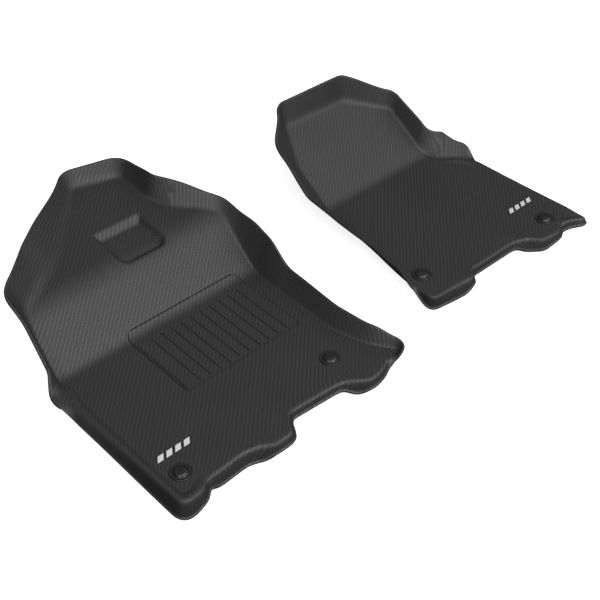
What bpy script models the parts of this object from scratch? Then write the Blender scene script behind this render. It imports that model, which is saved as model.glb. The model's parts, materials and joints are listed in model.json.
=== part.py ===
"""Floor mat set: two moulded three-layer footwell mats, each held down by two swivelling anchors.

A mat is one surface, the top of its skin. It is drawn as a flat pattern with an upturned or
downturned edge, and its three layers are Solidify shells that start deeper and deeper under it.
Lengths are metres. +X is the vehicle's right, +Y its front and +Z up.
"""

import math

import bmesh
import bpy
import numpy as np
from mathutils import Vector
from mathutils.geometry import delaunay_2d_cdt

# Overall sizes of the two flat patterns, between the lines where their edges turn up or down
DRIVER_WIDTH = 0.549
DRIVER_LENGTH = 0.768
PASSENGER_WIDTH = 0.463
PASSENGER_LENGTH = 0.590
MAT_SPACING = 0.156  # driver's inboard corner to passenger's inboard corner
PASSENGER_LEAD = 0.046  # how much further forward the passenger mat's rear corner lies

# Layers, from the top down
SKIN = 0.0012
CORE = 0.0022
BACKING = 0.0008
LAYER_GAP = 0.0003
STACK = SKIN + CORE + BACKING + 2 * LAYER_GAP

# Shape in section
REAR_LIFT = math.radians(4.5)  # the floor climbs to the rear, over the downturned edges
EDGE_BEND = 0.012  # from where a bend starts to the sharp corner it rounds off
RIDGE_WIDTH = 0.010
DRIVER_RAMP = math.radians(38)
PASSENGER_RAMP = math.radians(32)
HEEL_BEND = 0.020
RAMP_TOP_BEND = 0.030
DRIVER_HEEL_LINE = 0.398  # from the rear corner of the pattern, as all lines across it
PASSENGER_HEEL_LINE = 0.402
PLATEAU_HEIGHT = 0.092  # where the driver's ramp meets the toe plateau
PLATEAU_RISE = 0.078  # slope of that plateau

# Pocket in the driver's toe plateau, and the heel pad
POCKET_SIZE = (0.115, 0.098)
POCKET_WALL = 0.016
POCKET_DEPTH = 0.012
POCKET_OFF_SIDE = 0.250  # its outboard side, from the outboard side of the pattern
POCKET_OFF_HEEL = 0.113  # its rear side, forward of the heel line
PAD_SIZE = (0.278, 0.197)
PAD_OFF_SIDE = 0.188
PAD_THICK = 0.0012
PAD_CORNER = 0.020

# Badge: a plain slanted plate
BADGE_SIZE = (0.078, 0.014)
BADGE_THICK = 0.0010
BADGE_SLANT = 0.006

# Anchor: a domed cap on a socket that hangs under the skin, and a snap ring in its bore
CAP_RADIUS = 0.0210
CAP_HEIGHT = 0.0070
CAP_WALL = 0.0016
SOCKET_BORE = 0.0070
HUB_WALL = 0.0022
HUB_ABOVE = 0.0044  # hub top over the skin's top
COLLAR_WALL = 0.0015
FLANGE_THICK = 0.0014
RUNNING_GAP = 0.0012  # between the swivelling anchor and the layers round it
FIT_GAP = 0.0003
RING_WIRE = 0.0006
RING_OPENING = math.radians(50)
ROUND_STEPS = 28

# Corners of the patterns, anticlockwise from the rear left one:
# x and y in hundredths of the width and the length, then in millimetres the length rounded off,
# the height of the edge over the surface beside it, how far it leans out, and the ridge beside it.
# An edge of height DOWN reaches down to the ground.
DOWN = None
DRIVER_CORNERS = [
    (1, 0, 24, DOWN, 9, 6),
    (10.5, 1, 12, -26, 10, 2),
    (13.5, 3, 9, -16, 10, 0),
    (18, 3, 9, DOWN, 10, 0),
    (30.5, 3.5, 18, DOWN, 10, 0),
    (36.5, 2, 12, -30, 12, 0),
    (39, 0.5, 10, -16, 12, 0),
    (47.5, 0.5, 16, -15, 12, 0),
    (52, 6, 14, -14, 9, 0),
    (75, 5, 18, -14, 10, 0),
    (80, 2.5, 12, -26, 10, 0),
    (83.5, 0.5, 10, -16, 12, 0),
    (89.5, 1, 10, -14, 12, 0),
    (93.5, 2.5, 8, -12, 10, 0),
    (99.5, 3.5, 12, 18, 12, 0),
    (95.5, 10, 22, 36, 18, 0),
    (91.5, 19.5, 30, 40, 24, 0),
    (91.5, 40, 40, 45, 28, 0),
    (92.5, 51, 30, 88, 28, 0),
    (93.5, 67.5, 22, 24, 22, 0),
    (80, 77, 20, 46, 30, 0),
    (76.5, 83.5, 20, 50, 22, 0),
    (76, 96, 26, 38, 20, 0),
    (57, 100, 30, 34, 20, 0),
    (26, 75.5, 45, 55, 52, 0),
    (6, 67.5, 24, 60, 30, 0),
    (4, 59.5, 18, 54, 16, 0),
    (3, 51, 18, 46, 16, 2),
    (1, 46, 18, 8, 28, 6),
    (0, 39, 20, DOWN, 14, 7),
]
PASSENGER_CORNERS = [
    (1.5, 6, 20, DOWN, 4, 0),
    (21, 5, 15, DOWN, 8, 0),
    (27, 4.5, 8, -15, 10, 0),
    (30, 8, 10, -14, 9, 0),
    (60, 8, 16, -14, 10, 0),
    (67.5, 5.5, 12, DOWN, 10, 0),
    (71, 1.5, 10, -22, 10, 0),
    (82, 0.5, 12, -14, 10, 0),
    (86.5, 3, 9, -14, 10, 0),
    (93.5, 2.5, 12, -16, 12, 2),
    (99.5, -2, 10, -12, 12, 3),
    (98.5, 9.5, 26, DOWN, 10, 7),
    (97.5, 27.5, 30, DOWN, 9, 7),
    (96.5, 51, 20, DOWN, 9, 7),
    (93.5, 57.5, 12, 18, 12, 4),
    (85, 64, 20, 45, 30, 0),
    (81.5, 71.5, 20, 50, 18, 0),
    (81.5, 88.5, 16, 42, 14, 0),
    (59.5, 99, 14, 54, 22, 0),
    (21, 99.5, 12, 46, 26, 0),
    (11, 84, 24, 64, 32, 0),
    (11, 70, 26, 55, 28, 0),
    (9.5, 53, 30, 45, 26, 0),
    (5.5, 32.5, 30, 30, 13, 0),
    (3, 22.5, 24, 24, 10, 0),
]
STATION_STEP = 0.075  # longest stretch of outline without a station

# Anchor and badge places, in hundredths of each pattern
DRIVER_ANCHORS = [("outboard", 9.3, 8.8), ("inboard", 80.3, 13.0)]
PASSENGER_ANCHORS = [("inboard", 10.6, 18.0), ("outboard", 84.6, 9.4)]
DRIVER_BADGE = (13.5, 15.2)
PASSENGER_BADGE = (84.0, 21.0)

parts = bpy.data.collections.new("floor_mat_set")
cutters = bpy.data.collections.new("cutters")


def clear_scene():
    for thing in list(bpy.data.objects):
        bpy.data.objects.remove(thing, do_unlink=True)
    bpy.context.scene.collection.children.link(parts)
    bpy.context.scene.collection.children.link(cutters)


def make_material(name, colour, roughness, metallic=0.0):
    material = bpy.data.materials.new(name)
    material.use_nodes = True
    shader = material.node_tree.nodes["Principled BSDF"]
    shader.inputs["Base Color"].default_value = (*colour, 1.0)
    shader.inputs["Roughness"].default_value = roughness
    shader.inputs["Metallic"].default_value = metallic
    return material


def add_object(name, mesh, material, parent, collection=parts):
    thing = bpy.data.objects.new(name, mesh)
    collection.objects.link(thing)
    thing.parent = parent
    if material:
        mesh.materials.append(material)
    return thing


def add_empty(name, parent=None):
    empty = bpy.data.objects.new(name, None)
    parts.objects.link(empty)
    empty.parent = parent
    return empty


def soft_ramp(y, start, bend):
    """0 before start and y - start after it, joined by a parabola that is bend long each way."""
    inside = np.clip(y - start + bend, 0, 2 * bend)
    return inside**2 / (4 * bend) + np.maximum(y - start - bend, 0)


def smooth_step(t):
    t = np.clip(t, 0, 1)
    return t * t * (3 - 2 * t)


class Mat:
    """One mat's pattern: its outline, and the height of its surface over the floor's plane."""

    def __init__(self, side, width, length, corners, ramp, heel, plateau, pocket):
        self.side = side
        self.size = np.array([width, length])
        self.ramp = math.tan(ramp)
        self.heel = heel
        self.ramp_top = heel + plateau / self.ramp if plateau else None
        self.pocket = pocket
        self.rows = self.bend_rows()
        self.outline = self.lay_outline(corners)

    def place(self, across, along):
        return self.size * (across, along) / 100

    def bend_rows(self):
        rows = [self.heel + k * HEEL_BEND for k in (-1, 0, 1)]
        if self.ramp_top:
            rows += [self.ramp_top + k * RAMP_TOP_BEND for k in (-1, 0, 1)]
        if self.pocket:
            low, high = self.pocket[1], self.pocket[1] + POCKET_SIZE[1]
            rows += [low, low + POCKET_WALL, high - POCKET_WALL, high]
        return sorted(rows)

    def height(self, x, y):
        """Flat floor, ramp and plateau, less the pocket with its sloping walls."""
        z = self.ramp * soft_ramp(y, self.heel, HEEL_BEND)
        if self.ramp_top:
            z = z + (PLATEAU_RISE - self.ramp) * soft_ramp(y, self.ramp_top, RAMP_TOP_BEND)
        if self.pocket:
            z = z - POCKET_DEPTH * self.in_pocket(x, y)
        return z

    def in_pocket(self, x, y):
        """1 over the pocket's floor, falling to 0 across its walls."""
        depth = 1.0
        for value, low, size in ((x, self.pocket[0], POCKET_SIZE[0]), (y, self.pocket[1], POCKET_SIZE[1])):
            inset = np.minimum(value - low, low + size - value)
            depth = depth * np.clip(inset / POCKET_WALL, 0, 1)
        return depth

    def ground(self, y):
        """Height of the ground under the floor's plane, which touches it at the heel bend."""
        return -STACK - (self.heel - HEEL_BEND - y) * math.tan(REAR_LIFT)

    def lay_outline(self, corners):
        """Stations (x, y, edge height, lean, ridge) round the pattern, each corner rounded by a
        quadratic curve that starts and ends its rounded-off length from the corner."""
        points = np.array([self.place(c[0], c[1]) for c in corners])
        values = np.array([self.edge_values(c, p) for c, p in zip(corners, points)])
        stations = []
        gaps = np.linalg.norm(np.roll(points, -1, axis=0) - points, axis=1)
        room = 0.45 * np.minimum(gaps, np.roll(gaps, 1))
        cuts = np.minimum([c[2] / 1000 for c in corners], room)
        for i, cut in enumerate(cuts):
            before, here, after = points[i - 1], points[i], points[(i + 1) % len(points)]
            start, end = (here + cut * unit(other - here) for other in (before, after))
            for t in (0, 0.5, 1):
                curve = (1 - t) ** 2 * start + 2 * t * (1 - t) * here + t**2 * end
                stations.append([*curve, *self.values_near(values, points, i, curve)])
            after_start = after + cuts[(i + 1) % len(points)] * unit(here - after)
            gap = np.linalg.norm(after_start - end)
            count = int(gap / STATION_STEP)
            for k in range(1, count + 1):
                point = end + (after_start - end) * k / (count + 1)
                stations.append([*point, *self.values_near(values, points, i, point)])
        return self.with_rows(np.array(stations))

    def edge_values(self, corner, point):
        rise = self.ground(point[1]) if corner[3] is DOWN else corner[3] / 1000
        if corner[3] is DOWN:
            rise -= float(self.height(*point)) + corner[5] / 1000
        return [rise, corner[4] / 1000, corner[5] / 1000]

    def values_near(self, values, points, i, point):
        """Edge values at a point beside corner i, eased towards the corner on that side of it."""
        after = (i + 1) % len(points)
        along = self.share_between(points[i], points[after], point)
        if along >= 0:
            return values[i] + smooth_step(along) * (values[after] - values[i])
        back = self.share_between(points[i], points[i - 1], point)
        return values[i] + smooth_step(back) * (values[i - 1] - values[i])

    @staticmethod
    def share_between(start, end, point):
        step = end - start
        return float((point - start) @ step / (step @ step))

    def with_rows(self, stations):
        """The stations, with one more wherever the outline crosses a bend row."""
        result = []
        for here, after in zip(stations, np.roll(stations, -1, axis=0)):
            result.append(here)
            crossed = [r for r in self.rows if min(here[1], after[1]) < r < max(here[1], after[1])]
            for row in sorted(crossed, reverse=bool(after[1] < here[1])):
                share = (row - here[1]) / (after[1] - here[1])
                if 0.15 < share < 0.85:
                    result.append(here + share * (after - here))
        return np.array(result)


def unit(vector):
    return vector / np.linalg.norm(vector)


def outward_of(points):
    """Unit normals of a closed anticlockwise outline, from the chord across each point."""
    chord = np.roll(points, -1, axis=0) - np.roll(points, 1, axis=0)
    normals = np.stack([chord[:, 1], -chord[:, 0]], axis=1)
    return normals / np.linalg.norm(normals, axis=1, keepdims=True)


def mat_rings(mat):
    """Rings of the surface from the ridge's foot out to the rim, each one an array of points.
    The bend between floor and edge is a quadratic curve about the base line."""
    base, rise, lean, ridge = mat.outline[:, :2], *mat.outline[:, 2:].T
    outward = outward_of(base)
    centre = mat.place(45, 45)
    inward = centre - base
    inward = inward / np.linalg.norm(inward, axis=1, keepdims=True)

    def ring(plan, lift):
        return np.column_stack([plan, mat.height(plan[:, 0], plan[:, 1]) + lift])

    foot = ring(base + inward * (RIDGE_WIDTH + EDGE_BEND), 0)
    start = ring(base + inward * EDGE_BEND, ridge)
    corner = ring(base, ridge)
    rim = corner + np.column_stack([outward * lean[:, None], rise])
    slant = np.linalg.norm(rim - corner, axis=1, keepdims=True)
    end = corner + (rim - corner) * np.minimum(EDGE_BEND / slant, 0.5)
    middle = 0.25 * start + 0.5 * corner + 0.25 * end
    return [foot, start, middle, end, rim]


def floor_triangles(mat, border):
    """Triangles inside the border ring, with edges along every bend row."""
    points = [Vector(p[:2]) for p in border]
    edges = []
    for row in mat.rows:
        crossing = crossings(border, row)
        if len(crossing) < 2:
            continue
        left, right = min(crossing) + EDGE_BEND, max(crossing) - EDGE_BEND
        columns = list(np.linspace(left, right, 5))
        if mat.pocket and mat.pocket[1] - 1e-6 <= row <= mat.pocket[1] + POCKET_SIZE[1] + 1e-6:
            low, high = mat.pocket[0], mat.pocket[0] + POCKET_SIZE[0]
            columns = [c for c in columns if not low < c < high]
            columns += [low, low + POCKET_WALL, high - POCKET_WALL, high]
        columns = sorted(c for c in columns if left <= c <= right)
        first = len(points)
        points += [Vector((c, row)) for c in columns]
        edges += [(k, k + 1) for k in range(first, len(points) - 1)]
    outline = list(range(len(border)))
    found = delaunay_2d_cdt(points, edges, [outline], 1, 1e-6)
    verts = np.array([tuple(v) for v in found[0]])
    return verts, [list(f) for f in found[2]]


def crossings(ring, row):
    """X of every place where a closed ring crosses a line of constant Y."""
    after = np.roll(ring, -1, axis=0)
    crossed = (ring[:, 1] - row) * (after[:, 1] - row) < 0
    share = (row - ring[crossed, 1]) / (after[crossed, 1] - ring[crossed, 1])
    return list(ring[crossed, 0] + share * (after[crossed, 0] - ring[crossed, 0]))


def mat_surface(mat):
    """The open top surface of the skin."""
    rings = mat_rings(mat)
    border = rings[0]
    verts, faces = floor_triangles(mat, border)
    surface = bmesh.new()
    floor = [surface.verts.new((x, y, float(mat.height(x, y)))) for x, y in verts]
    for face in faces:
        surface.faces.new([floor[k] for k in face])
    loops = [[nearest(floor, point) for point in border]]
    for ring in rings[1:]:
        loops.append([surface.verts.new(point) for point in ring])
    for inner, outer in zip(loops, loops[1:]):
        for k in range(len(inner)):
            after = (k + 1) % len(inner)
            surface.faces.new([inner[k], outer[k], outer[after], inner[after]])
    bmesh.ops.triangulate(surface, faces=surface.faces[:])
    bmesh.ops.recalc_face_normals(surface, faces=surface.faces[:])
    if max(surface.faces, key=lambda f: f.calc_area()).normal.z < 0:
        bmesh.ops.reverse_faces(surface, faces=surface.faces[:])
    mesh = bpy.data.meshes.new(mat.side + "_surface")
    surface.to_mesh(mesh)
    surface.free()
    return mesh


def nearest(verts, point):
    return min(verts, key=lambda v: (v.co.x - point[0]) ** 2 + (v.co.y - point[1]) ** 2)


def add_shell(thing, above, thick):
    """Solidify from above the surface (negative for under it) up by thick."""
    shell = thing.modifiers.new("shell", "SOLIDIFY")
    shell.thickness = thick
    shell.offset = 1 + 2 * above / thick
    shell.use_even_offset = False


def cut_hole(things, place, radius, parent, name):
    """Take an upright cylinder out of each of the things."""
    bpy.ops.mesh.primitive_cylinder_add(vertices=ROUND_STEPS, radius=radius, depth=8 * STACK)
    cutter = bpy.context.object
    for collection in list(cutter.users_collection):
        collection.objects.unlink(cutter)
    cutters.objects.link(cutter)
    cutter.name = name
    cutter.parent = parent
    cutter.location = (*place, 0)
    cutter.hide_render = True
    cutter.display_type = "WIRE"
    for thing in things:
        cut = thing.modifiers.new(name, "BOOLEAN")
        cut.operation = "DIFFERENCE"
        cut.object = cutter


def turned(name, profile, material, parent, steps=ROUND_STEPS):
    """A closed profile of (radius, height) points, anticlockwise, swept round the upright axis."""
    shape = bmesh.new()
    loops = []
    for k in range(steps):
        angle = 2 * math.pi * k / steps
        around = [(r * math.cos(angle), r * math.sin(angle), z) for r, z in profile if r > 0]
        loops.append([shape.verts.new(point) for point in around])
    on_axis = [shape.verts.new((0, 0, z)) for r, z in profile if r == 0]
    closed = not on_axis
    for here, after in zip(loops, loops[1:] + loops[:1]):
        count = len(here)
        for k in range(count if closed else count - 1):
            nxt = (k + 1) % count
            shape.faces.new([here[k], after[k], after[nxt], here[nxt]])
        if not closed:
            shape.faces.new([on_axis[0], after[0], here[0]])
            shape.faces.new([here[-1], after[-1], on_axis[1]])
    bmesh.ops.recalc_face_normals(shape, faces=shape.faces[:])
    mesh = bpy.data.meshes.new(name)
    shape.to_mesh(mesh)
    shape.free()
    mesh.shade_smooth()
    mesh.set_sharp_from_angle(angle=math.radians(40))
    return add_object(name, mesh, material, parent)


def cap_profile():
    """A dome with a hollow underside and a collar that grips the hub. It starts on the axis at the
    dome's inner top and ends on the axis at its outer top."""
    foot = FIT_GAP
    roof = CAP_HEIGHT - CAP_WALL
    inner = CAP_RADIUS - CAP_WALL
    collar_in = SOCKET_BORE + HUB_WALL + FIT_GAP
    collar_out = collar_in + COLLAR_WALL
    dome = [(CAP_RADIUS * math.cos(a), foot + 0.0015 + (CAP_HEIGHT - foot - 0.0015) * math.sin(a))
            for a in (math.radians(d) for d in (0, 20, 42, 66))]
    return [
        (0, roof),
        (collar_in, roof),
        (collar_in, foot),
        (collar_out, foot),
        (collar_out, roof - 0.0004),
        (inner * 0.72, roof - 0.0012),
        (inner, foot + 0.0020),
        (inner, foot),
        (CAP_RADIUS, foot),
        *dome,
        (0, CAP_HEIGHT),
    ]


def socket_profile():
    """A hub through the skin, with a flange under the skin and a groove for the ring."""
    top = HUB_ABOVE
    bottom = -STACK + FIT_GAP
    hub = SOCKET_BORE + HUB_WALL
    flange_top = -SKIN - FIT_GAP
    flange_foot = flange_top - FLANGE_THICK
    groove = SOCKET_BORE + 2 * RING_WIRE + FIT_GAP
    middle = (top + bottom) / 2
    half = RING_WIRE + FIT_GAP
    return [
        (SOCKET_BORE, bottom),
        (hub, bottom),
        (hub, flange_foot),
        (CAP_RADIUS - CAP_WALL, flange_foot),
        (CAP_RADIUS - CAP_WALL, flange_top),
        (hub, flange_top),
        (hub, top),
        (SOCKET_BORE, top),
        (SOCKET_BORE, middle + half),
        (groove, middle + half),
        (groove, middle - half),
        (SOCKET_BORE, middle - half),
    ]


def snap_ring(name, material, parent):
    """An open ring of round wire that stands a little into the bore."""
    radius = SOCKET_BORE + RING_WIRE / 2
    middle = (HUB_ABOVE - STACK + FIT_GAP) / 2
    curve = bpy.data.curves.new(name, "CURVE")
    curve.dimensions = "3D"
    curve.bevel_depth = RING_WIRE
    curve.bevel_resolution = 1
    curve.use_fill_caps = True
    spline = curve.splines.new("POLY")
    angles = np.linspace(RING_OPENING / 2, 2 * math.pi - RING_OPENING / 2, 15)
    spline.points.add(len(angles) - 1)
    for point, angle in zip(spline.points, angles):
        point.co = (radius * math.cos(angle), radius * math.sin(angle), middle, 1)
    return add_object(name, curve, material, parent)


def add_anchor(mat, end, place, layers, frame, looks):
    """One swivelling anchor at a place on the mat, with its holes through the layers."""
    prefix = f"{mat.side}_{end}_anchor"
    hinge = add_empty(prefix, frame)
    hinge.location = (*place, float(mat.height(*place)))
    turned(prefix + "_cap", cap_profile(), looks["anchor"], hinge)
    turned(prefix + "_socket", socket_profile(), looks["anchor"], hinge)
    snap_ring(prefix + "_ring", looks["ring"], hinge)
    hub = SOCKET_BORE + HUB_WALL + RUNNING_GAP
    cut_hole(layers[:1], place, hub, frame, prefix + "_hub_hole")
    cut_hole(layers[1:], place, CAP_RADIUS - CAP_WALL + RUNNING_GAP, frame, prefix + "_flange_hole")


def add_layers(mat, frame, looks):
    surface = mat_surface(mat)
    depths = {"skin": SKIN, "core": SKIN + LAYER_GAP + CORE, "backing": STACK}
    thick = {"skin": SKIN, "core": CORE, "backing": BACKING}
    layers = []
    for layer, depth in depths.items():
        thing = add_object(f"{mat.side}_{layer}", surface.copy(), looks[layer], frame)
        add_shell(thing, -depth, thick[layer])
        layers.append(thing)
    return layers


def add_heel_pad(mat, frame, look):
    """A pad welded on the skin over the heel bend, with its two front corners cut off."""
    front = mat.heel + HEEL_BEND
    left = PAD_OFF_SIDE
    right = left + PAD_SIZE[0]
    columns = [left, left + PAD_CORNER, right - PAD_CORNER, right]
    rows = [front - PAD_SIZE[1], mat.heel - HEEL_BEND, mat.heel, front]
    pad = bmesh.new()
    grid = {}
    for j, y in enumerate(rows):
        for i, x in enumerate(columns):
            if j == len(rows) - 1 and i in (0, len(columns) - 1):
                continue
            grid[i, j] = pad.verts.new((x, y, float(mat.height(x, y))))
    for j in range(len(rows) - 1):
        for i in range(len(columns) - 1):
            keys = [(i, j), (i + 1, j), (i + 1, j + 1), (i, j + 1)]
            pad.faces.new([grid[k] for k in keys if k in grid])
    mesh = bpy.data.meshes.new("heel_pad_surface")
    pad.to_mesh(mesh)
    pad.free()
    thing = add_object(f"{mat.side}_heel_pad", mesh, look, frame)
    add_shell(thing, LAYER_GAP, PAD_THICK)


def add_badge(mat, place, frame, look):
    """A slanted plate on the skin, drawn as a flat outline."""
    name = f"{mat.side}_badge"
    half_width, half_height = BADGE_SIZE[0] / 2, BADGE_SIZE[1] / 2
    slant = BADGE_SLANT / 2
    outline = [
        (-half_width - slant, -half_height),
        (half_width - slant, -half_height),
        (half_width + slant, half_height),
        (-half_width + slant, half_height),
    ]
    curve = bpy.data.curves.new(name, "CURVE")
    curve.dimensions = "2D"
    curve.fill_mode = "BOTH"
    curve.extrude = BADGE_THICK / 2
    spline = curve.splines.new("POLY")
    spline.points.add(len(outline) - 1)
    for point, (x, y) in zip(spline.points, outline):
        point.co = (x, y, 0, 1)
    spline.use_cyclic_u = True
    thing = add_object(name, curve, look, frame)
    thing.location = (*place, float(mat.height(*place)) + LAYER_GAP + BADGE_THICK / 2)


def box_of(frame):
    """Lowest and highest corners of all the parts under an empty."""
    bpy.context.view_layer.update()
    view = bpy.context.evaluated_depsgraph_get()
    corners = []
    for thing in parts.objects:
        if thing.type != "EMPTY" and frame in ancestors(thing):
            solid = thing.evaluated_get(view)
            mesh = solid.to_mesh()
            corners += [solid.matrix_world @ v.co for v in mesh.vertices]
            solid.to_mesh_clear()
    corners = np.array([tuple(c) for c in corners])
    return corners.min(axis=0), corners.max(axis=0)


def ancestors(thing):
    found = []
    while thing.parent:
        thing = thing.parent
        found.append(thing)
    return found


def make_mat(mat, anchors, badge, root, looks):
    frame = add_empty(mat.side + "_mat", root)
    frame.rotation_euler = (-REAR_LIFT, 0, 0)
    layers = add_layers(mat, frame, looks)
    for end, across, along in anchors:
        add_anchor(mat, end, mat.place(across, along), layers, frame, looks)
    add_badge(mat, mat.place(*badge), frame, looks["badge"])
    return frame


def main():
    clear_scene()
    looks = {
        "skin": make_material("skin", (0.030, 0.030, 0.032), 0.55),
        "core": make_material("core", (0.050, 0.050, 0.052), 0.80),
        "backing": make_material("backing", (0.022, 0.022, 0.023), 0.90),
        "anchor": make_material("anchor", (0.020, 0.020, 0.021), 0.35),
        "ring": make_material("ring", (0.600, 0.600, 0.610), 0.30, 1.0),
        "badge": make_material("badge", (0.750, 0.750, 0.760), 0.35, 0.6),
        "heel_pad": make_material("heel_pad", (0.030, 0.030, 0.032), 0.50),
    }
    root = add_empty("mat_set")
    pocket = (POCKET_OFF_SIDE, DRIVER_HEEL_LINE + POCKET_OFF_HEEL)
    driver = Mat("driver", DRIVER_WIDTH, DRIVER_LENGTH, DRIVER_CORNERS, DRIVER_RAMP,
                 DRIVER_HEEL_LINE, PLATEAU_HEIGHT, pocket)
    passenger = Mat("passenger", PASSENGER_WIDTH, PASSENGER_LENGTH, PASSENGER_CORNERS,
                    PASSENGER_RAMP, PASSENGER_HEEL_LINE, None, None)
    driver_frame = make_mat(driver, DRIVER_ANCHORS, DRIVER_BADGE, root, looks)
    add_heel_pad(driver, driver_frame, looks["heel_pad"])
    passenger_frame = make_mat(passenger, PASSENGER_ANCHORS, PASSENGER_BADGE, root, looks)
    passenger_frame.location = (DRIVER_WIDTH + MAT_SPACING, PASSENGER_LEAD, 0)
    for frame in (driver_frame, passenger_frame):
        frame.location.z = -box_of(frame)[0][2]
    low, high = box_of(root)
    root.location = (-(low[0] + high[0]) / 2, -(low[1] + high[1]) / 2, -low[2])


main()
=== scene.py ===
# Floor mat set: the finished look of two moulded, three-layer footwell mats.
# Each mat is one surface, the top of its skin, with its upturned and downturned edge.
# The skin, the foam core and the fibre backing are shells nested under that surface.
import json
import math

import bpy
import numpy as np
from mathutils import Matrix, Vector


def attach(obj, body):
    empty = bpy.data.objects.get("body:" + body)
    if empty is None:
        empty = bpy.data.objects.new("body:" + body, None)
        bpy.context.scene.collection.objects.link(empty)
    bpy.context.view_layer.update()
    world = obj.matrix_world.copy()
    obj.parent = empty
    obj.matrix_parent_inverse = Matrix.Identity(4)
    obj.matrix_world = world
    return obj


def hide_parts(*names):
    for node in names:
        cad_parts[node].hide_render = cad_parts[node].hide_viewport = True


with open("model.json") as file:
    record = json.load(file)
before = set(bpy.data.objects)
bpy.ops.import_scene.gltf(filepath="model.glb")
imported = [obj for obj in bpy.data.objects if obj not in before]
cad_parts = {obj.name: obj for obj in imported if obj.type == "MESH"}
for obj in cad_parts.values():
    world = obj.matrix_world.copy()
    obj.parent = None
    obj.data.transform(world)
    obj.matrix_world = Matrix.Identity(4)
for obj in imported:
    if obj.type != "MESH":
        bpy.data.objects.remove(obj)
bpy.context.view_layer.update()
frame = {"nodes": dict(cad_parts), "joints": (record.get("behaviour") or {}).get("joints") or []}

# thicknesses of the three sheets, the gap between neighbours, and the round holes in them
layers = {
    "skin": 0.0012,
    "core": 0.0022,
    "backing": 0.0008,
    "gap": 0.0003,
    "skinHole": 0.0104,
    "underHole": 0.0206,
    "holeReach": 0.0026,  # vertices this near a hole's rim move onto it
}
stack = layers["skin"] + layers["core"] + layers["backing"] + 2 * layers["gap"]
rearLift = math.radians(4.5)  # both mats climb to the rear, over their downturned edges

# Posts stand round each mat's edge, anticlockwise from the rear left:
# across and along in hundredths of the pattern, then in millimetres the corner's rounding,
# the edge's height (None reaches the ground), its lean outwards, the ridge beside it and
# the width of the bend at its foot.
driverMat = {
    "side": "driver",
    "width": 0.549,
    "length": 0.768,
    "heel": 0.398,  # line across the pattern where the ramp starts
    "ramp": math.radians(38),
    "plateau": 0.092,  # height at which the ramp gives way to the toe plateau
    "plateauRise": 0.078,
    "pocket": (0.256, 0.507, 0.123, 0.109),  # left, rear, width and length
    "pocketWall": 0.016,
    "pocketDepth": 0.015,
    "pocketRound": (0.026, 0.009),  # of its rear and its front corners
    "quarters": (0, 14, 22, 25),  # posts at the four corners of its grid
    "anchors": {"outboard": (9.3, 8.8), "inboard": (80.3, 13.0)},
    "badge": (13.5, 15.2),
    "posts": [
        (1, 0, 24, None, 9, 6, 12),
        (10.5, 1, 12, -27, 8, 2, 15),
        (13.5, 3, 9, -18, 7, 0, 15),
        (18, 3, 9, None, 8, 0, 15),
        (30.5, 3.5, 18, None, 8, 0, 15),
        (36.5, 2, 12, -31, 8, 0, 15),
        (39, 0.5, 8, -19, 7, 0, 15),
        (47.5, 0.5, 8, -18, 7, 0, 15),
        (52, 6, 12, -16, 6, 0, 15),
        (75, 5, 14, -16, 6, 0, 15),
        (80, 2.5, 12, -28, 8, 0, 15),
        (83.5, 0.5, 10, -19, 7, 0, 15),
        (89.5, 1, 8, -17, 7, 0, 15),
        (93.5, 2.5, 6, -13, 8, 0, 13),
        (102, 3.2, 8, 18, 12, 0, 8),
        (95.5, 10, 22, 36, 18, 0, 8),
        (91.5, 19.5, 30, 40, 24, 0, 8),
        (91.5, 40, 40, 45, 28, 0, 8),
        (92.5, 51, 16, 88, 28, 0, 8),
        (93.5, 67.5, 8, 24, 22, 0, 12),
        (80, 77, 9, 46, 32, 0, 14),
        (76.5, 83.5, 10, 50, 20, 0, 12),
        (76, 96, 12, 38, 20, 0, 16),
        (57, 100, 12, 34, 20, 0, 22),
        (26, 75.5, 45, 55, 52, 0, 26),
        (6, 67.5, 18, 60, 30, 0, 20),
        (4, 59.5, 18, 54, 16, 0, 12),
        (3, 51, 18, 46, 16, 2, 12),
        (1, 46, 18, 8, 28, 6, 12),
        (0, 39, 20, None, 14, 7, 12),
    ],
}
passengerMat = {
    "side": "passenger",
    "width": 0.463,
    "length": 0.590,
    "heel": 0.402,
    "ramp": math.radians(32),
    "plateau": None,
    "plateauRise": 0.0,
    "pocket": None,
    "quarters": (0, 10, 17, 19),
    "anchors": {"inboard": (10.6, 18.0), "outboard": (84.6, 9.4)},
    "badge": (84.0, 21.0),
    "posts": [
        (1.5, 6, 20, None, 4, 0, 10),
        (21, 5, 12, None, 8, 0, 15),
        (27, 4.5, 8, -17, 7, 0, 15),
        (30, 8, 8, -16, 6, 0, 15),
        (60, 8, 12, -16, 6, 0, 15),
        (67.5, 5.5, 12, None, 8, 0, 15),
        (71, 1.5, 8, -24, 8, 0, 15),
        (82, 0.5, 10, -16, 7, 0, 15),
        (86.5, 3, 8, -16, 7, 0, 15),
        (92, 2, 24, -16, 6, 2, 10),
        (99.5, -1.5, 8, -14, 8, 3, 10),
        (98.5, 9.5, 26, None, 10, 7, 10),
        (97.5, 27.5, 30, None, 9, 7, 10),
        (96.5, 51, 14, None, 9, 7, 10),
        (93.5, 57.5, 10, 29, 19, 4, 12),
        (85, 64, 16, 50, 36, 0, 12),
        (81.5, 71.5, 14, 52, 18, 0, 10),
        (81.5, 88.5, 8, 44, 14, 0, 12),
        (59.5, 99, 6, 60, 13, 0, 16),
        (21, 99.5, 10, 54, 18, 0, 16),
        (13, 84, 14, 68, 52, 0, 12),
        (13, 70, 20, 63, 57, 0, 12),
        (11.5, 53, 30, 48, 47, 0, 12),
        (6, 32.5, 30, 32, 21, 0, 12),
        (3, 22.5, 24, 24, 10, 0, 12),
    ],
}
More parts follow.
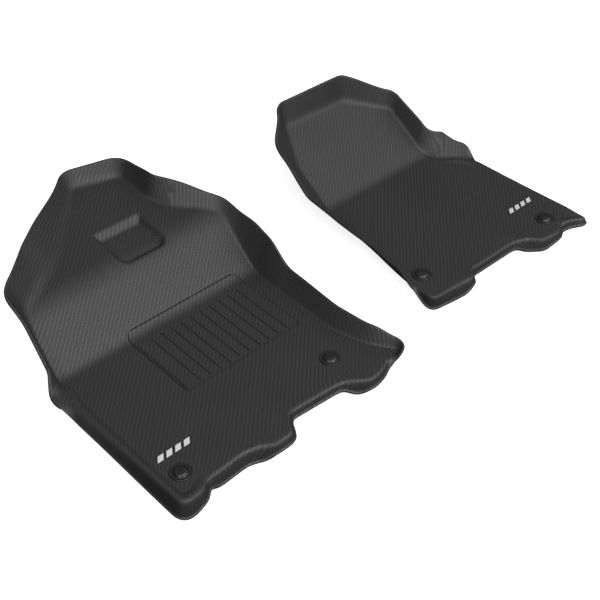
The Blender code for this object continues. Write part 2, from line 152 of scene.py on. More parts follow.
section = {
    "heelBend": 0.011,
    "rampTopBend": 0.030,
    "ridgeWidth": 0.013,
    "slopeShare": 0.86,  # of the reach inwards: where the floor starts to climb to the ridge
    "foldIn": 0.6,  # weight of the outline's own normal in the way inwards
    "innerBend": 0.004,
    "kneeBend": 0.002,
    "fullFlare": 0.012,  # walls lower than this flare less
    "flare": 0.0035,  # the cut edge turns out by this much
    "flareDrop": 0.0015,
    "standProud": 0.0046,  # rims that reach the ground stay this far over it, for their layers
    "relaxing": 400,  # rounds
    "columns": 150,
    "rows": 160,
    "cornerSteps": 25,
    "ringSteps": 5,
    "cornerShare": 0.45,  # most of a gap between posts that a rounding takes
    "ringShare": 0.48,
    "smoothing": 1.1,  # in stations, as are the spreads
    "kneeSpread": 1.2,
    "footSpread": 3.5,
    "crestSpread": 2.0,
}
middleOfMat = (45, 45)  # in hundredths of the pattern


def place(mat, across, along):
    # a spot in hundredths of a mat's pattern, in metres
    return np.array([mat["width"] * across / 100, mat["length"] * along / 100])


# nodes: a socket that takes Python arithmetic, and one way to make any other node
class Signal:
    # holds one output socket; arithmetic on it adds Math nodes
    def __init__(self, board, socket):
        self.board = board
        self.socket = socket

    def maths(self, operation, *others):
        return self.board.add("ShaderNodeMath", {"operation": operation}, [self, *others])

    def __add__(self, other):
        return self.maths("ADD", other)

    __radd__ = __add__

    def __mul__(self, other):
        return self.maths("MULTIPLY", other)

    __rmul__ = __mul__

    def __sub__(self, other):
        return self.maths("SUBTRACT", other)

    def __rsub__(self, other):
        return self.board.add("ShaderNodeMath", {"operation": "SUBTRACT"}, [other, self])

    def __truediv__(self, other):
        return self.maths("DIVIDE", other)

    def __mod__(self, other):
        return self.maths("FLOORED_MODULO", other)

    def floor(self):
        return self.maths("FLOOR")

    def sine(self):
        return self.maths("SINE")

    def below(self, other):
        return self.maths("LESS_THAN", other)


class Board:
    # the node tree of a material or of the world
    def __init__(self, owner, roughness=0.5, metallic=0.0):
        owner.use_nodes = True
        self.owner = owner
        self.tree = owner.node_tree
        self.shader = self.tree.nodes.get("Principled BSDF") or self.tree.nodes["Background"]
        if self.shader.type == "BSDF_PRINCIPLED":
            self.shader.inputs["Roughness"].default_value = roughness
            self.shader.inputs["Metallic"].default_value = metallic

    def add(self, kind, settings=None, values=(), output=0):
        node = self.tree.nodes.new(kind)
        for key, value in (settings or {}).items():
            setattr(node, key, value)
        pairs = values.items() if isinstance(values, dict) else enumerate(values)
        for key, value in pairs:
            if isinstance(value, Signal):
                self.tree.links.new(value.socket, node.inputs[key])
            else:
                node.inputs[key].default_value = value
        return Signal(self, node.outputs[output])

    def feed(self, socket, signal):
        self.tree.links.new(signal.socket, self.shader.inputs[socket])

    def ramp(self, signal, stops):
        ramp = self.tree.nodes.new("ShaderNodeValToRGB")
        while len(ramp.color_ramp.elements) < len(stops):
            ramp.color_ramp.elements.new(0.5)
        for element, (position, colour) in zip(ramp.color_ramp.elements, stops):
            element.position = position
            element.color = (*colour, 1.0)
        self.tree.links.new(signal.socket, ramp.inputs["Fac"])
        return Signal(self, ramp.outputs["Color"])

    def noise(self, where, scale, detail=3.0):
        return self.add("ShaderNodeTexNoise", {}, {"Vector": where, "Scale": scale, "Detail": detail})

    def bump(self, height, strength, distance):
        values = {"Height": height, "Strength": strength, "Distance": distance}
        self.feed("Normal", self.add("ShaderNodeBump", {}, values))


# materials
weaveLook = {
    "thread": 0.0027,  # width of a thread
    "dark": (0.0068, 0.0068, 0.0072),
    "light": (0.0380, 0.0380, 0.0393),
    # painted shade: the colour that grooves, the heel pad's edge band and its underside are darkened to
    "groove": (0.0025, 0.0025, 0.0027),
    "roughness": 0.44,
    "relief": 0.00035,
}


def makeWeave(name, look):
    # two-and-two twill in the piece's own UV map, which holds metres along its surface:
    # each thread floats over two others and is round across its width
    board = Board(bpy.data.materials.new(name), look["roughness"])
    where = board.add("ShaderNodeUVMap", {"uv_map": "pattern"})
    cell = board.add("ShaderNodeSeparateXYZ", {}, [where])
    u = Signal(board, cell.socket.node.outputs["X"]) / look["thread"]
    v = Signal(board, cell.socket.node.outputs["Y"]) / look["thread"]
    column, row = u.floor(), v.floor()
    warpTop = ((column - row) % 4.0).below(2.0)
    across, along = (u - column) - 0.5, (v - row) - 0.5
    roundWarp = 1.0 - across * across * 3.4
    roundWeft = 1.0 - along * along * 3.4
    warpFloat = (((v - column + 1.0) % 4.0) * (math.pi / 2)).sine()
    weftFloat = (((u - row - 2.0) % 4.0) * (math.pi / 2)).sine()
    height = warpTop * roundWarp * warpFloat + (1.0 - warpTop) * roundWeft * weftFloat
    drift = board.noise(where, 9.0, 2.0)
    # The colour mixes the twill's own tone (lighter warp floats, a random drift) with painted highlight and
    # shade: thread height paints each crown lighter and the dips between threads darker.
    twillToneAndShade = height * 0.50 + warpTop * 0.32 + drift * 0.18
    woven = board.ramp(twillToneAndShade, [(0.15, look["dark"]), (0.85, look["light"])])
    # the share read here turns the colour towards the groove colour: painted shade in grooves
    grooveShade = board.add("ShaderNodeAttribute", {"attribute_name": "grooveShade"}, output=2)
    mixing = {"data_type": "RGBA"}
    values = {0: grooveShade, 6: woven, 7: (*look["groove"], 1.0)}
    board.feed("Base Color", board.add("ShaderNodeMix", mixing, values, 2))
    grain = board.noise(where, 2600.0, 2.0)
    rough = look["roughness"] - 0.06 + 0.14 * grain + (1.0 - warpTop) * 0.10
    board.feed("Roughness", rough + grooveShade * 0.3)
    board.bump(height + grain * 0.05, 0.8, look["relief"])
    return board.owner


def makeGrainy(name, dark, light, roughness, scale, relief, metallic=0.0, stretch=(1, 1, 1)):
    # a noise on Object coordinates colours the surface from dark to light and roughens it
    board = Board(bpy.data.materials.new(name), roughness, metallic)
    where = board.add("ShaderNodeTexCoord", output=3)
    turned = board.add("ShaderNodeMapping", {}, {"Vector": where, "Scale": stretch})
    coarse, fine = board.noise(turned, scale / 12, 4.0), board.noise(turned, scale, 3.0)
    board.feed("Base Color", board.ramp(coarse * 0.5 + fine * 0.5, [(0.3, dark), (0.7, light)]))
    board.feed("Roughness", roughness - 0.08 + 0.16 * fine)
    board.bump(fine, 0.6, relief)
    return board.owner


def makeBadge(name, plate, bars, roughness):
    # satin bars on a dark plate, told apart by the share on each vertex
    board = Board(bpy.data.materials.new(name), roughness)
    where = board.add("ShaderNodeTexCoord", output=3)
    bright = board.add("ShaderNodeAttribute", {"attribute_name": "bright"}, output=2)
    grain = board.noise(where, 900.0, 2.0)
    mixed = {0: bright * (0.86 + 0.14 * grain), 6: (*plate, 1.0), 7: (*bars, 1.0)}
    board.feed("Base Color", board.add("ShaderNodeMix", {"data_type": "RGBA"}, mixed, 2))
    board.feed("Metallic", bright * 0.35)
    board.feed("Roughness", roughness - 0.06 + 0.12 * grain)
    board.bump(grain, 0.5, 0.00003)
    return board.owner


looks = {
    "skin": makeWeave("wovenSkin", weaveLook),
    "core": makeGrainy("foamCore", (0.006,) * 3, (0.016,) * 3, 0.85, 900.0, 0.0003),
    "backing": makeGrainy("needledFibre", (0.006,) * 3, (0.022,) * 3, 0.92, 1400.0, 0.0005, 0.0, (1, 3, 1)),
    "anchor": makeGrainy("anchorPlastic", (0.009,) * 3, (0.013,) * 3, 0.30, 1900.0, 0.00003),
    "ring": makeGrainy("ringWire", (0.45,) * 3, (0.60,) * 3, 0.30, 900.0, 0.00002, 1.0, (1, 1, 6)),
    "badge": makeBadge("badgeBars", (0.012,) * 3, (0.80, 0.80, 0.81), 0.34),
}
print("materials made")


# geometry
def softRamp(y, start, bend):
    # 0 before start and y - start after it, joined by a parabola bend long each way
    inside = np.clip(y - start + bend, 0, 2 * bend)
    return inside**2 / (4 * bend) + np.maximum(y - start - bend, 0)


def smoothStep(t):
    t = np.clip(t, 0, 1)
    return t * t * (3 - 2 * t)


def mainHeight(mat, y):
    # flat floor, ramp, then the toe plateau where there is one
    slope = math.tan(mat["ramp"])
    z = slope * softRamp(y, mat["heel"], section["heelBend"])
    if mat["plateau"]:
        top = mat["heel"] + mat["plateau"] / slope
        z = z + (mat["plateauRise"] - slope) * softRamp(y, top, section["rampTopBend"])
    return z


def floorHeight(mat, x, y):
    # the main height less the pocket: its depth is eased by the distance in from the side of
    # a rectangle with round corners
    z = mainHeight(mat, y)
    if mat["pocket"]:
        left, rear, wide, long = mat["pocket"]
        corner = np.where(y < rear + long / 2, *mat["pocketRound"])
        acrossOut = np.abs(x - left - wide / 2) - wide / 2 + corner
        alongOut = np.abs(y - rear - long / 2) - long / 2 + corner
        beyond = np.hypot(np.maximum(acrossOut, 0), np.maximum(alongOut, 0))
        within = corner - beyond - np.minimum(np.maximum(acrossOut, alongOut), 0)
        z = z - mat["pocketDepth"] * smoothStep(within / mat["pocketWall"])
    return z


def smoothLoop(values, spread):
    # circular Gaussian blur of a loop of values, spread given in stations
    if spread <= 0:
        return values
    count = len(values)
    offset = np.minimum(np.arange(count), count - np.arange(count))
    kernel = np.exp(-0.5 * (offset / spread) ** 2)
    kernel = kernel / kernel.sum()
    spectrum = np.fft.fft(kernel)
    shape = (count,) + (1,) * (values.ndim - 1)
    return np.real(np.fft.ifft(np.fft.fft(values, axis=0) * spectrum.reshape(shape), axis=0))


def unit(vectors):
    return vectors / np.linalg.norm(vectors, axis=-1, keepdims=True)


def layOutline(mat, columns, rows):
    # a loop of stations round the pattern: straight runs between posts, corners rounded by
    # quadratic curves, values eased from post to post by the share of the way between them
    posts = np.array(mat["posts"], dtype=float)  # None becomes nan
    points = posts[:, :2] * (mat["width"] / 100, mat["length"] / 100)
    lean, ridge, bend = posts[:, 4:7].T / 1000
    ground = -stack - (mat["heel"] - section["heelBend"] - points[:, 1]) * math.tan(rearLift)
    deep = ground - floorHeight(mat, points[:, 0], points[:, 1]) - ridge
    rise = np.where(np.isnan(posts[:, 3]), deep + section["standProud"], posts[:, 3] / 1000)
    gaps = np.linalg.norm(np.roll(points, -1, axis=0) - points, axis=1)
    most = section["cornerShare"] * np.minimum(gaps, np.roll(gaps, 1))
    cut = np.minimum(posts[:, 2] / 1000, most)[:, None]
    before, after = np.roll(points, 1, axis=0), np.roll(points, -1, axis=0)
    start, end = points + cut * unit(before - points), points + cut * unit(after - points)
    steps = section["cornerSteps"]
    t = np.linspace(0, 1, steps)[None, :, None]
    curves = (1 - t) ** 2 * start[:, None] + 2 * t * (1 - t) * points[:, None] + t**2 * end[:, None]
    path = curves.reshape(-1, 2)
    path = np.vstack([path, path[:1]])
    travel = np.concatenate([[0], np.cumsum(np.linalg.norm(np.diff(path, axis=0), axis=1))])
    postTravel = travel[np.arange(len(posts)) * steps + steps // 2]

    # stations: even along each of the four sides, with as many as that side of the grid has
    quarters = [postTravel[k] for k in mat["quarters"]] + [postTravel[mat["quarters"][0]] + travel[-1]]
    counts = [columns, rows, columns, rows]
    sides = [np.linspace(a, b, n - 1, endpoint=False) for a, b, n in zip(quarters, quarters[1:], counts)]
    along = np.concatenate(sides) % travel[-1]
    plan = np.stack([np.interp(along, travel, path[:, k]) for k in (0, 1)], axis=1)

    # values eased between posts, on a loop that repeats the first post at its end
    knots = np.append(postTravel, postTravel[0] + travel[-1])
    lap = np.where(along < postTravel[0], along + travel[-1], along)
    index = np.clip(np.searchsorted(knots, lap, side="right") - 1, 0, len(posts) - 1)
    share = smoothStep((lap - knots[index]) / (knots[index + 1] - knots[index]))
    values = np.stack([rise, lean, ridge, bend], axis=1)
    values = values[index] + share[:, None] * (np.roll(values, -1, axis=0)[index] - values[index])
    blur = section["smoothing"]
    return smoothLoop(plan, blur), smoothLoop(values, blur)


def roundedRuns(corners, cuts, steps):
    # each inner corner of a run of points becomes a quadratic curve that starts and ends
    # its cut from the corner; the run's ends stay as they are
    runs = [corners[0][None]]
    t = np.linspace(0, 1, steps)[:, None, None]
    for k in range(1, len(corners) - 1):
        back, onward = corners[k - 1] - corners[k], corners[k + 1] - corners[k]
        backLong = np.linalg.norm(back, axis=-1, keepdims=True)
        onwardLong = np.linalg.norm(onward, axis=-1, keepdims=True)
        start = corners[k] + back * np.minimum(cuts[k] / backLong, section["ringShare"])
        end = corners[k] + onward * np.minimum(cuts[k] / onwardLong, section["ringShare"])
        runs.append((1 - t) ** 2 * start + 2 * t * (1 - t) * corners[k] + t**2 * end)
    return np.concatenate(runs + [corners[-1][None]])


def edgeRings(mat, plan, values):
    # the edge's section at every station: floor, ridge, bend, wall and flared rim
    rise, lean, ridge, bend = values.T
    chord = np.roll(plan, -1, axis=0) - np.roll(plan, 1, axis=0)
    outward = unit(smoothLoop(unit(np.stack([chord[:, 1], -chord[:, 0]], axis=1)), section["kneeSpread"]))
    inward = unit(unit(place(mat, *middleOfMat) - plan) - section["foldIn"] * outward)

    def at(reach, lift, spread):
        # points in from the base line, on a loop that is smoother the further in it lies
        spot = smoothLoop(plan + inward * reach[:, None], spread)
        return np.column_stack([spot, floorHeight(mat, spot[:, 0], spot[:, 1]) + lift])

    ridgeReach = section["ridgeWidth"] + bend
    foot = at(ridgeReach, 0 * ridge, section["footSpread"])
    slope = at(section["slopeShare"] * ridgeReach, 0 * ridge, section["footSpread"])
    crest = at(bend, ridge, section["crestSpread"])
    base = at(0 * bend, ridge, 0)
    rim = base + np.column_stack([outward * lean[:, None], rise])
    turn = np.minimum(np.abs(rise) / section["fullFlare"], 1)
    flare = outward * (section["flare"] * turn)[:, None]
    knee = rim - np.column_stack([flare, np.sign(rise) * section["flareDrop"] * turn])
    knee = smoothLoop(knee, section["kneeSpread"])
    rim = smoothLoop(rim, section["kneeSpread"])
    cuts = [0, section["innerBend"], section["innerBend"], bend[:, None], section["kneeBend"]]
    return roundedRuns([foot, slope, crest, base, knee, rim], cuts, section["ringSteps"])


def fillGrid(loop, columns, rows):
    # a grid that fills a closed loop: opposite sides are blended along the grid and the
    # bilinear sheet through the four corners is taken away once
    a, b, c = columns - 1, columns + rows - 2, 2 * columns + rows - 3
    rear, right = loop[: a + 1], loop[a : b + 1]
    front, left = loop[b : c + 1][::-1], np.vstack([loop[c:], loop[:1]])[::-1]
    u = np.linspace(0, 1, columns)[None, :, None]
    v = np.linspace(0, 1, rows)[:, None, None]
    sheet = (1 - v) * rear[None] + v * front[None] + (1 - u) * left[:, None] + u * right[:, None]
    corners = (1 - u) * (1 - v) * loop[0] + u * (1 - v) * loop[a] + u * v * loop[b] + (1 - u) * v * loop[c]
    return sheet - corners


def relax(grid, rounds):
    # Winslow's smoothing: each inner point moves to the mean of its neighbours, weighted by how
    # far apart the rows and columns are there, which undoes folds and leaves the border alone
    grid = grid.copy()
    for _ in range(rounds):
        across, along = grid[1:-1, 2:] - grid[1:-1, :-2], grid[2:, 1:-1] - grid[:-2, 1:-1]
        a = (along**2).sum(axis=-1, keepdims=True)
        b = (across * along).sum(axis=-1, keepdims=True)
        c = (across**2).sum(axis=-1, keepdims=True)
        twist = grid[2:, 2:] - grid[:-2, 2:] - grid[2:, :-2] + grid[:-2, :-2]
        rowMean = grid[1:-1, 2:] + grid[1:-1, :-2]
        columnMean = grid[2:, 1:-1] + grid[:-2, 1:-1]
        grid[1:-1, 1:-1] = (a * rowMean + c * columnMean - b / 2 * twist) / (2 * (a + c))
    return grid


def quadsOf(table):
    # quads between neighbouring rows and columns of a table of vertex numbers
    corners = [table[:-1, :-1], table[:-1, 1:], table[1:, 1:], table[1:, :-1]]
    return np.stack(corners, axis=-1).reshape(-1, 4)


def borderOf(table):
    # the vertex numbers round a table, anticlockwise from its first, each once
    return np.concatenate([table[0, :-1], table[:-1, -1], table[-1, :0:-1], table[:0:-1, 0]])


def closedPlate(upper, lower):
    # verts and faces of a plate between two grids of points: top, bottom and the wall round them
    table = np.arange(upper[..., 0].size).reshape(upper.shape[:2])
    border = borderOf(table)
    border = np.append(border, border[0])
    wall = quadsOf(np.stack([border, border + table.size]))
    faces = np.vstack([quadsOf(table), quadsOf(table + table.size)[:, ::-1], wall[:, ::-1]])
    return np.vstack([upper.reshape(-1, 3), lower.reshape(-1, 3)]), faces


def addMesh(name, verts, faces, material, smooth=True):
    mesh = bpy.data.meshes.new(name)
    mesh.from_pydata(verts, [], faces)
    mesh.validate()
    mesh.materials.append(material)
    mesh.polygons.foreach_set("use_smooth", np.full(len(mesh.polygons), smooth))
    mesh.update()
    piece = bpy.data.objects.new(name, mesh)
    bpy.context.scene.collection.objects.link(piece)
    return piece


def addPattern(piece, flat):
    # a UV map of metres along the surface, one value a vertex
    mesh = piece.data
    layer = mesh.uv_layers.new(name="pattern")
    corner = np.empty(len(mesh.loops), dtype=np.int32)
    mesh.loops.foreach_get("vertex_index", corner)
    layer.data.foreach_set("uv", flat[corner].ravel())


def addShare(piece, name, shares):
    # a number from 0 to 1 on every vertex, for the materials to read
    layer = piece.data.attributes.new(name, "FLOAT", "POINT")
    layer.data.foreach_set("value", np.asarray(shares, dtype=np.float32))


def matPlace(mat):
    # turn and shift from a mat's own frame to the set's frame, from where its anchor stands
    turn = np.array(Matrix.Rotation(-rearLift, 3, "X"))
    end, (across, along) = next(iter(mat["anchors"].items()))
    joint = next(j for j in frame["joints"] if j["name"] == f"{mat['side']}_{end}_anchor_swivel")
    spot = place(mat, across, along)
    local = np.array([*spot, float(floorHeight(mat, *spot))])
    return turn, np.array(joint["pos_m"]) - turn @ local


def matSurface(mat):
    # the top of the skin: rings of the edge and a grid inside them, as verts, faces and pattern
    columns, rows = section["columns"], section["rows"]
    plan, values = layOutline(mat, columns, rows)
    rings = edgeRings(mat, plan, values)
    inner = relax(fillGrid(rings[0][:, :2], columns, rows), section["relaxing"])
    inner = np.dstack([inner, floorHeight(mat, inner[..., 0], inner[..., 1])])
    count = len(plan)
    gridTable = np.arange(rows * columns).reshape(rows, columns)
    border = borderOf(gridTable)
    outer = rows * columns + np.arange((len(rings) - 1) * count).reshape(-1, count)
    loops = np.vstack([border, outer])
    loops = np.hstack([loops, loops[:, :1]])
    verts = np.vstack([inner.reshape(-1, 3), rings[1:].reshape(-1, 3)])
    faces = np.vstack([quadsOf(gridTable), quadsOf(loops)[:, ::-1]])

    # pattern: x and the distance along the main height's curve, then on outwards up the edge
    beyond = 0.1
    y = np.linspace(-beyond, mat["length"] + beyond, 4000)
    along = np.concatenate([[0], np.cumsum(np.hypot(np.diff(y), np.diff(mainHeight(mat, y))))])
    flatInner = np.stack([inner[..., 0], np.interp(inner[..., 1], y, along)], axis=-1)
    steps = np.linalg.norm(np.diff(rings, axis=0), axis=-1)
    travel = np.cumsum(steps, axis=0)[..., None]
    chord = np.roll(plan, -1, axis=0) - np.roll(plan, 1, axis=0)
    outward = unit(np.stack([chord[:, 1], -chord[:, 0]], axis=1))
    start = np.stack([rings[0][:, 0], np.interp(rings[0][:, 1], y, along)], axis=-1)
    flatOuter = start[None] + outward[None] * travel
    flat = np.vstack([flatInner.reshape(-1, 2), flatOuter.reshape(-1, 2)])
    return verts, faces, flat


def cutRound(mat, verts, faces, radius):
    # opens a round hole at each anchor: vertices near its rim move onto it, and faces whose
    # middle is inside go
    for across, along in mat["anchors"].values():
        spot = place(mat, across, along)
        offset = verts[:, :2] - spot
        away = np.linalg.norm(offset, axis=1)
        near = np.abs(away - radius) < layers["holeReach"]
        verts = verts.copy()
        verts[near, :2] = spot + offset[near] * (radius / away[near])[:, None]
        middle = verts[faces][:, :, :2].mean(axis=1)
        faces = faces[np.linalg.norm(middle - spot, axis=1) > radius]
    return verts, faces


def addLayer(mat, layer, surface, depth, thick, hole):
    # a shell whose bottom lies depth under the surface
    verts, faces, flat = surface
    verts, faces = cutRound(mat, verts, faces, hole)
    turn, shift = matPlace(mat)
    used = np.unique(faces)
    renumber = np.full(len(verts), -1)
    renumber[used] = np.arange(len(used))
    verts, faces, flat = verts[used], renumber[faces], flat[used]
    piece = addMesh(f"{mat['side']}_{layer}_moulding", verts @ turn.T + shift, faces.tolist(), looks[layer])
    addPattern(piece, flat)
    shell = piece.modifiers.new("shell", "SOLIDIFY")
    shell.thickness = thick
    shell.offset = 1 - 2 * depth / thick
    shell.use_even_offset = False
    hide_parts(f"{mat['side']}_{layer}")
    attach(piece, f"{mat['side']}_mat")


def addLayers(mat):
    deep = layers["skin"] + layers["gap"]
    surface = matSurface(mat)
    addLayer(mat, "skin", surface, layers["skin"], layers["skin"], layers["skinHole"])
    addLayer(mat, "core", surface, deep + layers["core"], layers["core"], layers["underHole"])
    addLayer(mat, "backing", surface, stack, layers["backing"], layers["underHole"])
    print(mat["side"], "mat made")


# heel pad
padForm = {
    "left": 0.182,
    "width": 0.286,
    "front": 0.016,  # forward of the heel line
    "length": 0.202,
    "corner": 0.020,
    "rearCorner": 0.009,
    "lift": 0.0003,
    "thick": 0.0015,
    "brow": 0.0016,  # how far in its edge rounds over
    "ribs": 10,
    "ribPitch": 0.0243,
    "ribShift": 0.004,
    "ribWidth": 0.0044,
    "ribDeep": 0.0012,
    "ribEnds": (0.006, 0.034),  # how far the grooves stop short of the rear and the front
    "border": 0.0062,  # a second line runs along the outboard side
    # also the width of the painted shade band round the edge
    "lineWidth": 0.0034,
    "lineFade": 0.004,  # over which a groove dies out at its ends
    # over which the painted shade band round the edge fades
    "edgeFade": 0.0008,
    "rows": 210,
    "columns": 290,
}


def addHeelPad(mat):
    # a plate over the heel bend with a rounded edge; grooves run along it, and painted shade darkens them,
    # a band round its edge that stands for an outline groove, and its underside and sides
    form = padForm
    front = mat["heel"] + form["front"]
    rear = front - form["length"]
    v = np.linspace(rear, front, form["rows"])[:, None]
    u = np.linspace(-0.5, 0.5, form["columns"])[None, :]
    toFront = np.clip(form["corner"] - (front - v), 0, form["corner"])
    toRear = np.clip(form["rearCorner"] - (v - rear), 0, form["rearCorner"])
    inset = form["corner"] - np.sqrt(form["corner"] ** 2 - toFront**2)
    inset = inset + form["rearCorner"] - np.sqrt(form["rearCorner"] ** 2 - toRear**2)
    x = form["left"] + form["width"] / 2 + u * (form["width"] - 2 * inset)
    y = np.broadcast_to(v, x.shape)
    edge = np.minimum(np.minimum((0.5 - np.abs(u)) * form["width"], front - v), v - rear)
    crown = smoothStep(edge / form["brow"])
    middle = form["left"] + form["width"] / 2 + form["ribShift"]
    rank = (x - middle) / form["ribPitch"] + form["ribs"] / 2 - 0.5
    nearest = np.clip(np.round(rank), 0, form["ribs"] - 1)
    across = np.abs(rank - nearest) * form["ribPitch"] / (form["ribWidth"] / 2)
    ends = np.minimum(v - rear - form["ribEnds"][0], front - form["ribEnds"][1] - v)
    groove = np.clip(1 - across**2, 0, 1) * smoothStep(ends / form["lineFade"])
    second = np.abs((u + 0.5) * form["width"] - form["border"]) / (form["lineWidth"] / 2)
    second = np.clip(1 - second**2, 0, 1) * smoothStep(ends / form["lineFade"])
    line = np.maximum(groove, second)
    top = form["lift"] + form["thick"] * crown - form["ribDeep"] * line
    # painted shade: grooves and a band round the edge darken towards the groove colour
    grooveShade = np.maximum(smoothStep(line * 2), smoothStep((form["lineWidth"] - edge) / form["edgeFade"]))
    ground = floorHeight(mat, x, y)
    upper = np.dstack([x, y, ground + top])
    lower = np.dstack([x, y, ground + form["lift"]])
    turn, shift = matPlace(mat)
    verts, faces = closedPlate(upper, lower)
    piece = addMesh("driver_heel_pad_ribbed", verts @ turn.T + shift, faces.tolist(), looks["skin"])
    flat = np.vstack([upper[..., :2].reshape(-1, 2)] * 2)
    addPattern(piece, flat)
    # the underside is painted fully dark, so the sides are dark too: painted shade
    addShare(piece, "grooveShade", np.concatenate([grooveShade.ravel(), np.ones(grooveShade.size)]))
    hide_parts("driver_heel_pad")
    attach(piece, "driver_mat")
    print("heel pad made")


# badges
badgeForm = {
    "width": 0.078,
    "height": 0.014,
    "thick": 0.0010,
    "slant": 0.010,
    "bars": 4,
    "gap": 0.30,  # share of the pitch left between bars
    "plateShare": 0.35,  # of the thickness
    "barFade": 0.08,  # of the pitch
    "endFade": 0.10,  # of the height
    "columns": 161,
    "rows": 25,
}


def addBadge(mat):
    # slanted bars stand on a thin slanted plate: height is a function of place on one grid
    form = badgeForm
    u = np.linspace(0, 1, form["columns"])[None, :]
    v = np.linspace(0, 1, form["rows"])[:, None]
    x = (u - 0.5) * form["width"] + (v - 0.5) * form["slant"]
    y = (v - 0.5) * form["height"] + 0 * u
    phase = np.abs(((u * form["bars"]) % 1) - 0.5) * 2
    inBar = smoothStep((1 - form["gap"] - phase) / form["barFade"])
    inHeight = smoothStep((0.5 - np.abs(v - 0.5)) / form["endFade"])
    share = form["plateShare"] + (1 - form["plateShare"]) * inBar * inHeight
    lift = layers["gap"] + form["thick"] * share + 0 * x
    spot = place(mat, *mat["badge"])
    ground = float(floorHeight(mat, *spot))
    upper = np.dstack([x + spot[0], y + spot[1], ground + lift])
    lower = np.dstack([x + spot[0], y + spot[1], ground + layers["gap"] + 0 * x])
    turn, shift = matPlace(mat)
    verts, faces = closedPlate(upper, lower)
    piece = addMesh(f"{mat['side']}_badge_bars", verts @ turn.T + shift, faces.tolist(), looks["badge"])
    bright = (inBar * inHeight + 0 * x).ravel()
    addShare(piece, "bright", np.concatenate([bright, 0 * bright]))
    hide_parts(f"{mat['side']}_badge")
    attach(piece, f"{mat['side']}_mat")


# anchor caps
capForm = {
    "radius": 0.0210,
    "rimHigh": 0.0022,
    "domeRadius": 0.0138,
    "domeHigh": 0.0068,
    "roof": 0.0052,
    "rimRound": 0.0012,
    "rimWidth": 0.0030,
    "channel": 0.0018,  # width of its outer slope
    "channelDrop": 0.0008,
    "flankPower": 0.55,  # below 1 the dome's flank is steeper than a sphere's
    "flank": (0.12, math.pi / 2 - 0.02),
    "hollow": 0.0096,
    "wall": 0.0014,
    "rimHollow": 0.0016,
    "turns": 72,
}


def addCap(mat, end, spot):
    # a rounded rim, a shallow channel and a steep-sided dome, turned round the upright axis,
    # over a hollow underside
    form = capForm
    r, dome, rim = form["radius"], form["domeRadius"], form["rimHigh"]
    gap, curve = layers["gap"], form["rimRound"]
    t = np.linspace(0, math.pi / 2, 9)
    rimOuter = np.column_stack([r - curve + curve * np.cos(t), rim - curve + curve * np.sin(t)])
    inner = r - form["rimWidth"]
    floor = rim - form["channelDrop"]
    channel = np.array([[inner, rim - 0.0003], [inner - form["channel"], floor], [dome + 0.0008, floor]])
    angle = np.linspace(*form["flank"], 14)
    foot = rim - 0.0004
    climb = foot + (form["domeHigh"] - foot) * np.sin(angle)
    flank = np.column_stack([dome * np.cos(angle) ** form["flankPower"], climb])
    hollow, wall, rimIn = form["hollow"], form["hollow"] + form["wall"], r - form["rimHollow"]
    under = [[hollow, form["roof"]], [hollow, gap], [wall, gap], [wall, 0.0012]]
    under += [[rimIn, rim - curve], [rimIn, gap], [r, gap]]
    outline = np.vstack([under, rimOuter, channel, flank])
    turns = np.linspace(0, 2 * math.pi, form["turns"], endpoint=False)
    circle = np.stack([np.cos(turns), np.sin(turns)], axis=1)
    body = np.empty((len(outline), form["turns"], 3))
    body[..., :2] = outline[:, None, :1] * circle[None]
    body[..., 2] = outline[:, 1:]
    verts = np.vstack([body.reshape(-1, 3), [[0, 0, form["roof"]], [0, 0, form["domeHigh"]]]])
    table = np.arange(len(outline) * form["turns"]).reshape(len(outline), -1)
    table = np.hstack([table, table[:, :1]])
    low, high = len(verts) - 2, len(verts) - 1
    fans = [[low, int(b), int(a)] for a, b in zip(table[0, 1:], table[0, :-1])]
    fans += [[high, int(a), int(b)] for a, b in zip(table[-1, :-1], table[-1, 1:])]
    faces = quadsOf(table)[:, ::-1].tolist()
    turn, shift = matPlace(mat)
    local = np.array([*spot, float(floorHeight(mat, *spot))])
    name = f"{mat['side']}_{end}_anchor"
    piece = addMesh(name + "_button", (verts + local) @ turn.T + shift, faces + fans, looks["anchor"])
    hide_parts(name + "_cap")
    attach(piece, name)


for mat in (driverMat, passengerMat):
    addLayers(mat)
    addBadge(mat)
    for end, (across, along) in mat["anchors"].items():
        addCap(mat, end, place(mat, across, along))
addHeelPad(driverMat)

# the sockets and snap rings are carried over from the frame, with finishes of their own
for name, node in frame["nodes"].items():
    for ending, look in (("_socket", "anchor"), ("_ring", "ring")):
        if name.endswith(ending):
            node.data.materials.clear()
            node.data.materials.append(looks[look])
print("anchors made")

# studio
studio = {
    "floor": (0.86, 0.86, 0.86),
    "floorGlow": 0.70,
    "near": 1.56,  # light from the near half of the sky, from its far half and from below
    "far": 0.28,
    "ground": 0.02,
    "rising": (0.10, 0.66),  # height over the horizon where the light from the sky comes in
    "nearing": (0.20, -0.35),  # depth, from the far side to the near one
    "key": {"from": (0.10, -0.75, 0.66), "away": 3.2, "size": (2.2, 1.8), "power": 50},
    "fill": {"from": (-0.62, -0.45, 0.60), "away": 3.2, "size": (1.4, 1.4), "power": 20},
}


def addFloor():
    # a disc wide enough to reach past every view, just under the mats
    reach, drop, count = 40, 0.0005, 96
    angle = np.linspace(0, 2 * math.pi, count, endpoint=False)
    verts = np.column_stack([reach * np.cos(angle), reach * np.sin(angle), np.full(count, -drop)])
    board = Board(bpy.data.materials.new("paleFloor"), 0.9)
    board.shader.inputs["Base Color"].default_value = (*studio["floor"], 1)
    board.shader.inputs["Emission Color"].default_value = (1, 1, 1, 1)
    board.shader.inputs["Emission Strength"].default_value = studio["floorGlow"]
    floor = addMesh("floor", verts, [list(range(count))], board.owner, smooth=False)
    floor.visible_diffuse = False
    floor.visible_glossy = False


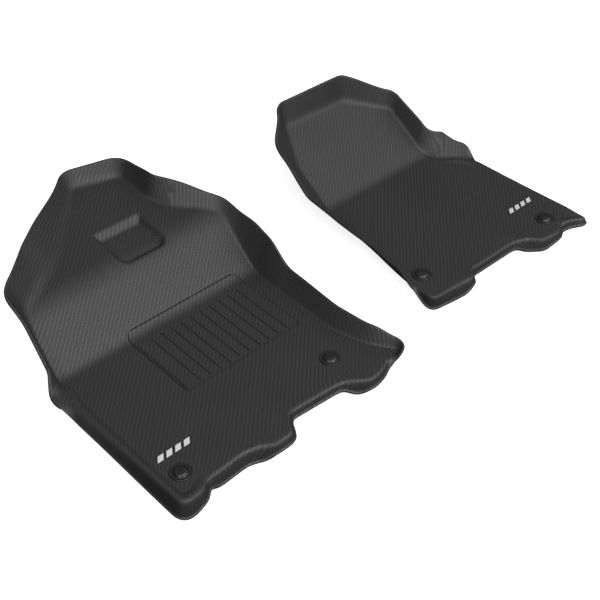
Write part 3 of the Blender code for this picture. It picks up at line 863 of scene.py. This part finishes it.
def addWorld():
    # pale to the eye; as light, a great soft box over the near side that fades to the far side
    world = bpy.data.worlds.new("studio")
    bpy.context.scene.world = world
    board = Board(world)
    way = board.add("ShaderNodeTexCoord", output=0)
    split = board.add("ShaderNodeSeparateXYZ", {}, [way])
    eased = {"interpolation_type": "SMOOTHSTEP"}
    height = Signal(board, split.socket.node.outputs["Z"])
    above = board.add("ShaderNodeMapRange", eased, [height, *studio["rising"]])
    depth = Signal(board, split.socket.node.outputs["Y"])
    front = board.add("ShaderNodeMapRange", eased, [depth, *studio["nearing"]])
    seen = board.add("ShaderNodeLightPath")
    sky = studio["far"] + front * (studio["near"] - studio["far"])
    strength = studio["ground"] + above * (sky - studio["ground"])
    board.shader.inputs["Color"].default_value = (1, 1, 1, 1)
    board.feed("Strength", seen + (1.0 - seen) * strength)


def addLight(name, lamp):
    # a rectangular lamp that looks at the middle of the set
    light = bpy.data.lights.new(name, "AREA")
    light.shape = "RECTANGLE"
    light.size, light.size_y = lamp["size"]
    light.energy = lamp["power"]
    piece = bpy.data.objects.new(name, light)
    bpy.context.scene.collection.objects.link(piece)
    aim = Vector(lamp["from"]).normalized()
    piece.location = aim * lamp["away"]
    piece.rotation_euler = (-aim).to_track_quat("-Z", "Y").to_euler()


addFloor()
addWorld()
addLight("keyLight", studio["key"])
addLight("fillLight", studio["fill"])
bpy.context.scene.view_settings.view_transform = "Standard"
print("studio made")


# camera, in the driver mat's own frame
shot = {
    "right": (0.7374, -0.6754, 0.0),
    "up": (0.4412, 0.4817, 0.7572),
    "back": (-0.5114, -0.5584, 0.6532),
    "aim": (0.5145, 0.266, 0.0),
    "away": 2.4,
    "lens": 70.74,
    "sensor": 36,
    "farthest": 200,
}


def addCamera():
    # carried from the mat's frame into the set's
    turn, shift = matPlace(driverMat)
    where = turn @ (np.array(shot["aim"]) + shot["away"] * np.array(shot["back"])) + shift
    lens = bpy.data.cameras.new("camera")
    lens.lens = shot["lens"]
    lens.sensor_width = shot["sensor"]
    lens.clip_end = shot["farthest"]
    camera = bpy.data.objects.new("camera", lens)
    bpy.context.scene.collection.objects.link(camera)
    matrix = np.eye(4)
    matrix[:3, :3] = turn @ np.array([shot["right"], shot["up"], shot["back"]]).T
    matrix[:3, 3] = where
    camera.matrix_world = Matrix(matrix.tolist())
    bpy.context.scene.camera = camera


addCamera()
